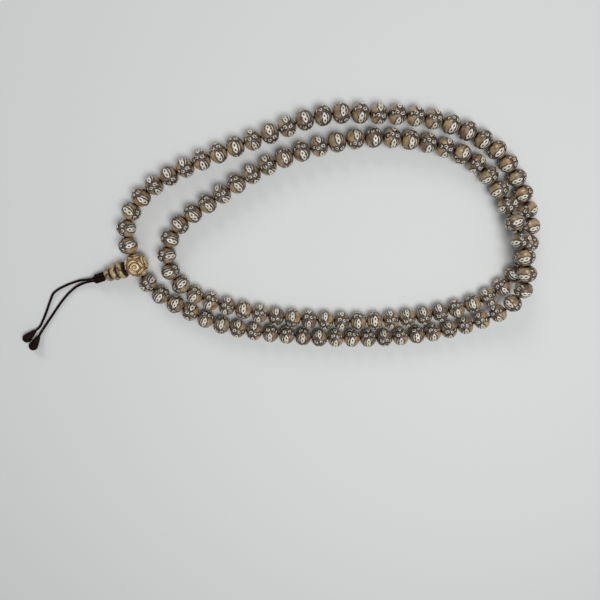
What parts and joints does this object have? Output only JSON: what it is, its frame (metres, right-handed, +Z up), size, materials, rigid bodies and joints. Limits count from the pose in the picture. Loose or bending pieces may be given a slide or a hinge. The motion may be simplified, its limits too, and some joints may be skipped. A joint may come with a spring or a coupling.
{
  "type": "mala prayer beads",
  "caption": "Mala of round carved beads on one cord, laid in two laps, with a guru bead, discs, a wrapped knot and two knotted cord tails, for counting prayers by hand.",
  "frame": {"origin": "centre of the bottom of the box round everything but the free tails, on the surface the beads lie on", "axes": "+X along the longer way of the laps, from the guru bead to the far end; +Z up, off the surface; +Y across the laps"},
  "size_m": [0.2364, 0.1096, 0.0174],
  "materials": {
    "bead": "carved bone or bone-coloured resin, polished, with dark stain in the cuts",
    "guru": "carved and polished, golden brown with cream raised strokes",
    "disc": "turned and polished, mottled tan, stained dark at the edges of the hole",
    "strand_cord": "waxed cord, dark brown",
    "tail_cord": "waxed cord, near-black brown",
    "knot": "waxed cord wound and drawn tight, near-black brown"
  },
  "bodies": {
    "strand": {"stringing_cord": "strand_cord", "guru_bead": "guru", "wrapped_knot": "knot", "tail_cord_a": "tail_cord", "tail_cord_b": "tail_cord", "tail_knot_a": "knot", "tail_knot_b": "knot", "beads_024_to_039": "bead", "beads_040_to_055": "bead", "beads_056_to_070": "bead", "beads_071_to_085": "bead"},
    "disc_large": {"disc_large": "disc"},
    "disc_middle": {"disc_middle": "disc"},
    "disc_small": {"disc_small": "disc"},
    "bead_001": {"bead_001": "bead"},
    "bead_002": {"bead_002": "bead"},
    "bead_003": {"bead_003": "bead"},
    "bead_004": {"bead_004": "bead"},
    "bead_005": {"bead_005": "bead"},
    "bead_006": {"bead_006": "bead"},
    "bead_007": {"bead_007": "bead"},
    "bead_008": {"bead_008": "bead"},
    "bead_009": {"bead_009": "bead"},
    "bead_010": {"bead_010": "bead"},
    "bead_011": {"bead_011": "bead"},
    "bead_012": {"bead_012": "bead"},
    "bead_013": {"bead_013": "bead"},
    "bead_014": {"bead_014": "bead"},
    "bead_015": {"bead_015": "bead"},
    "bead_016": {"bead_016": "bead"},
    "bead_017": {"bead_017": "bead"},
    "bead_018": {"bead_018": "bead"},
    "bead_019": {"bead_019": "bead"},
    "bead_020": {"bead_020": "bead"},
    "bead_021": {"bead_021": "bead"},
    "bead_022": {"bead_022": "bead"},
    "bead_023": {"bead_023": "bead"},
    "bead_086": {"bead_086": "bead"},
    "bead_087": {"bead_087": "bead"},
    "bead_088": {"bead_088": "bead"},
    "bead_089": {"bead_089": "bead"},
    "bead_090": {"bead_090": "bead"},
    "bead_091": {"bead_091": "bead"},
    "bead_092": {"bead_092": "bead"},
    "bead_093": {"bead_093": "bead"},
    "bead_094": {"bead_094": "bead"},
    "bead_095": {"bead_095": "bead"},
    "bead_096": {"bead_096": "bead"},
    "bead_097": {"bead_097": "bead"},
    "bead_098": {"bead_098": "bead"},
    "bead_099": {"bead_099": "bead"},
    "bead_100": {"bead_100": "bead"},
    "bead_101": {"bead_101": "bead"},
    "bead_102": {"bead_102": "bead"},
    "bead_103": {"bead_103": "bead"},
    "bead_104": {"bead_104": "bead"},
    "bead_105": {"bead_105": "bead"},
    "bead_106": {"bead_106": "bead"},
    "bead_107": {"bead_107": "bead"},
    "bead_108": {"bead_108": "bead"}
  },
  "joints": [
    {"name": "bead_001_spin", "type": "hinge", "parent": "strand", "child": "bead_001", "pos_m": [-0.07996, 0.00495, 0.00507], "axis": [-0.1548, 0.9874, -0.0323], "continuous": true},
    {"name": "bead_002_spin", "type": "hinge", "parent": "strand", "child": "bead_002", "pos_m": [-0.07942, 0.01248, 0.0047], "axis": [0.2925, 0.9541, -0.0644], "continuous": true},
    {"name": "bead_003_spin", "type": "hinge", "parent": "strand", "child": "bead_003", "pos_m": [-0.07597, 0.01924, 0.00432], "axis": [0.6041, 0.7962, -0.0325], "continuous": true},
    {"name": "bead_004_spin", "type": "hinge", "parent": "strand", "child": "bead_004", "pos_m": [-0.07076, 0.02482, 0.0042], "axis": [0.7539, 0.657, 0], "continuous": true},
    {"name": "bead_005_spin", "type": "hinge", "parent": "strand", "child": "bead_005", "pos_m": [-0.06451, 0.02915, 0.0042], "axis": [0.8795, 0.4759, 0], "continuous": true},
    {"name": "bead_006_spin", "type": "hinge", "parent": "strand", "child": "bead_006", "pos_m": [-0.05764, 0.03241, 0.0042], "axis": [0.9247, 0.3806, 0], "continuous": true},
    {"name": "bead_007_spin", "type": "hinge", "parent": "strand", "child": "bead_007", "pos_m": [-0.05055, 0.03508, 0.0042], "axis": [0.946, 0.3241, 0], "continuous": true},
    {"name": "bead_008_spin", "type": "hinge", "parent": "strand", "child": "bead_008", "pos_m": [-0.04336, 0.03743, 0.0042], "axis": [0.9551, 0.2964, 0], "continuous": true},
    {"name": "bead_009_spin", "type": "hinge", "parent": "strand", "child": "bead_009", "pos_m": [-0.03611, 0.03958, 0.0042], "axis": [0.9622, 0.2724, 0], "continuous": true},
    {"name": "bead_010_spin", "type": "hinge", "parent": "strand", "child": "bead_010", "pos_m": [-0.02881, 0.04157, 0.0042], "axis": [0.9673, 0.2538, 0], "continuous": true},
    {"name": "bead_011_spin", "type": "hinge", "parent": "strand", "child": "bead_011", "pos_m": [-0.02148, 0.04343, 0.0042], "axis": [0.9715, 0.2369, 0], "continuous": true},
    {"name": "bead_012_spin", "type": "hinge", "parent": "strand", "child": "bead_012", "pos_m": [-0.01416, 0.04534, 0.0042], "axis": [0.9631, 0.2692, 0], "continuous": true},
    {"name": "bead_013_spin", "type": "hinge", "parent": "strand", "child": "bead_013", "pos_m": [-0.00687, 0.04746, 0.0042], "axis": [0.9577, 0.2878, 0], "continuous": true},
    {"name": "bead_014_spin", "type": "hinge", "parent": "strand", "child": "bead_014", "pos_m": [0.00049, 0.04928, 0.0042], "axis": [0.9814, 0.1919, 0], "continuous": true},
    {"name": "bead_015_spin", "type": "hinge", "parent": "strand", "child": "bead_015", "pos_m": [0.00802, 0.05037, 0.0042], "axis": [0.9956, 0.0938, 0], "continuous": true},
    {"name": "bead_016_spin", "type": "hinge", "parent": "strand", "child": "bead_016", "pos_m": [0.01562, 0.05058, 0.0042], "axis": [0.9993, -0.0374, 0], "continuous": true},
    {"name": "bead_017_spin", "type": "hinge", "parent": "strand", "child": "bead_017", "pos_m": [0.02318, 0.04993, 0.0042], "axis": [0.991, -0.1339, 0], "continuous": true},
    {"name": "bead_018_spin", "type": "hinge", "parent": "strand", "child": "bead_018", "pos_m": [0.03069, 0.04899, 0.0042], "axis": [0.9934, -0.1146, 0], "continuous": true},
    {"name": "bead_019_spin", "type": "hinge", "parent": "strand", "child": "bead_019", "pos_m": [0.03821, 0.04804, 0.0042], "axis": [0.9909, -0.1349, 0], "continuous": true},
    {"name": "bead_020_spin", "type": "hinge", "parent": "strand", "child": "bead_020", "pos_m": [0.04568, 0.04671, 0.0042], "axis": [0.9764, -0.216, 0], "continuous": true},
    {"name": "bead_021_spin", "type": "hinge", "parent": "strand", "child": "bead_021", "pos_m": [0.05302, 0.04478, 0.0042], "axis": [0.9558, -0.2939, 0], "continuous": true},
    {"name": "bead_022_spin", "type": "hinge", "parent": "strand", "child": "bead_022", "pos_m": [0.06017, 0.0422, 0.0042], "axis": [0.9238, -0.3828, 0], "continuous": true},
    {"name": "bead_023_spin", "type": "hinge", "parent": "strand", "child": "bead_023", "pos_m": [0.06703, 0.03895, 0.0042], "axis": [0.8816, -0.4721, 0], "continuous": true},
    {"name": "bead_086_spin", "type": "hinge", "parent": "strand", "child": "bead_086", "pos_m": [0.0806, -0.0419, 0.00808], "axis": [-0.7926, -0.5298, -0.3018], "continuous": true},
    {"name": "bead_087_spin", "type": "hinge", "parent": "strand", "child": "bead_087", "pos_m": [0.07388, -0.0455, 0.00593], "axis": [-0.8966, -0.373, -0.2386], "continuous": true},
    {"name": "bead_088_spin", "type": "hinge", "parent": "strand", "child": "bead_088", "pos_m": [0.06668, -0.04794, 0.0046], "axis": [-0.9612, -0.256, -0.1027], "continuous": true},
    {"name": "bead_089_spin", "type": "hinge", "parent": "strand", "child": "bead_089", "pos_m": [0.05923, -0.04946, 0.0042], "axis": [-0.99, -0.1411, -0.0009], "continuous": true},
    {"name": "bead_090_spin", "type": "hinge", "parent": "strand", "child": "bead_090", "pos_m": [0.05168, -0.05017, 0.0042], "axis": [-0.9989, -0.0467, 0], "continuous": true},
    {"name": "bead_091_spin", "type": "hinge", "parent": "strand", "child": "bead_091", "pos_m": [0.04412, -0.05045, 0.0042], "axis": [-0.9996, -0.0277, 0], "continuous": true},
    {"name": "bead_092_spin", "type": "hinge", "parent": "strand", "child": "bead_092", "pos_m": [0.03655, -0.05058, 0.0042], "axis": [-1, -0.0055, 0], "continuous": true},
    {"name": "bead_093_spin", "type": "hinge", "parent": "strand", "child": "bead_093", "pos_m": [0.02897, -0.05041, 0.0042], "axis": [-0.9988, 0.0493, 0], "continuous": true},
    {"name": "bead_094_spin", "type": "hinge", "parent": "strand", "child": "bead_094", "pos_m": [0.02142, -0.04981, 0.0042], "axis": [-0.9939, 0.1105, 0], "continuous": true},
    {"name": "bead_095_spin", "type": "hinge", "parent": "strand", "child": "bead_095", "pos_m": [0.0139, -0.04899, 0.0042], "axis": [-0.9945, 0.1045, 0], "continuous": true},
    {"name": "bead_096_spin", "type": "hinge", "parent": "strand", "child": "bead_096", "pos_m": [0.00636, -0.04825, 0.0042], "axis": [-0.9957, 0.0924, 0], "continuous": true},
    {"name": "bead_097_spin", "type": "hinge", "parent": "strand", "child": "bead_097", "pos_m": [-0.00116, -0.04732, 0.0042], "axis": [-0.9881, 0.1538, 0], "continuous": true},
    {"name": "bead_098_spin", "type": "hinge", "parent": "strand", "child": "bead_098", "pos_m": [-0.0086, -0.0459, 0.0042], "axis": [-0.9757, 0.2193, 0], "continuous": true},
    {"name": "bead_099_spin", "type": "hinge", "parent": "strand", "child": "bead_099", "pos_m": [-0.01599, -0.04428, 0.0042], "axis": [-0.9779, 0.2088, 0], "continuous": true},
    {"name": "bead_100_spin", "type": "hinge", "parent": "strand", "child": "bead_100", "pos_m": [-0.0234, -0.04272, 0.0042], "axis": [-0.9793, 0.2026, 0], "continuous": true},
    {"name": "bead_101_spin", "type": "hinge", "parent": "strand", "child": "bead_101", "pos_m": [-0.03078, -0.041, 0.0042], "axis": [-0.9676, 0.2525, 0], "continuous": true},
    {"name": "bead_102_spin", "type": "hinge", "parent": "strand", "child": "bead_102", "pos_m": [-0.03807, -0.03889, 0.0042], "axis": [-0.9528, 0.3036, 0], "continuous": true},
    {"name": "bead_103_spin", "type": "hinge", "parent": "strand", "child": "bead_103", "pos_m": [-0.04516, -0.03615, 0.0042], "axis": [-0.9097, 0.4153, 0], "continuous": true},
    {"name": "bead_104_spin", "type": "hinge", "parent": "strand", "child": "bead_104", "pos_m": [-0.05189, -0.03263, 0.0042], "axis": [-0.8598, 0.5106, 0], "continuous": true},
    {"name": "bead_105_spin", "type": "hinge", "parent": "strand", "child": "bead_105", "pos_m": [-0.05828, -0.02856, 0.0042], "axis": [-0.8255, 0.5643, 0], "continuous": true},
    {"name": "bead_106_spin", "type": "hinge", "parent": "strand", "child": "bead_106", "pos_m": [-0.06441, -0.02408, 0.00432], "axis": [-0.7885, 0.6142, 0.0329], "continuous": true},
    {"name": "bead_107_spin", "type": "hinge", "parent": "strand", "child": "bead_107", "pos_m": [-0.07001, -0.01892, 0.0047], "axis": [-0.6773, 0.7328, 0.0649], "continuous": true},
    {"name": "bead_108_spin", "type": "hinge", "parent": "strand", "child": "bead_108", "pos_m": [-0.07456, -0.01282, 0.00507], "axis": [-0.5091, 0.8601, 0.0328], "continuous": true},
    {"name": "disc_large_spin", "type": "hinge", "parent": "strand", "child": "disc_large", "pos_m": [-0.07797, -0.00407, 0.0052], "axis": [-0.9573, -0.2565, -0.1333], "continuous": true},
    {"name": "disc_middle_spin", "type": "hinge", "parent": "strand", "child": "disc_middle", "pos_m": [-0.07797, -0.00407, 0.0052], "axis": [-0.9573, -0.2565, -0.1333], "continuous": true},
    {"name": "disc_small_spin", "type": "hinge", "parent": "strand", "child": "disc_small", "pos_m": [-0.07797, -0.00407, 0.0052], "axis": [-0.9573, -0.2565, -0.1333], "continuous": true}
  ]
}
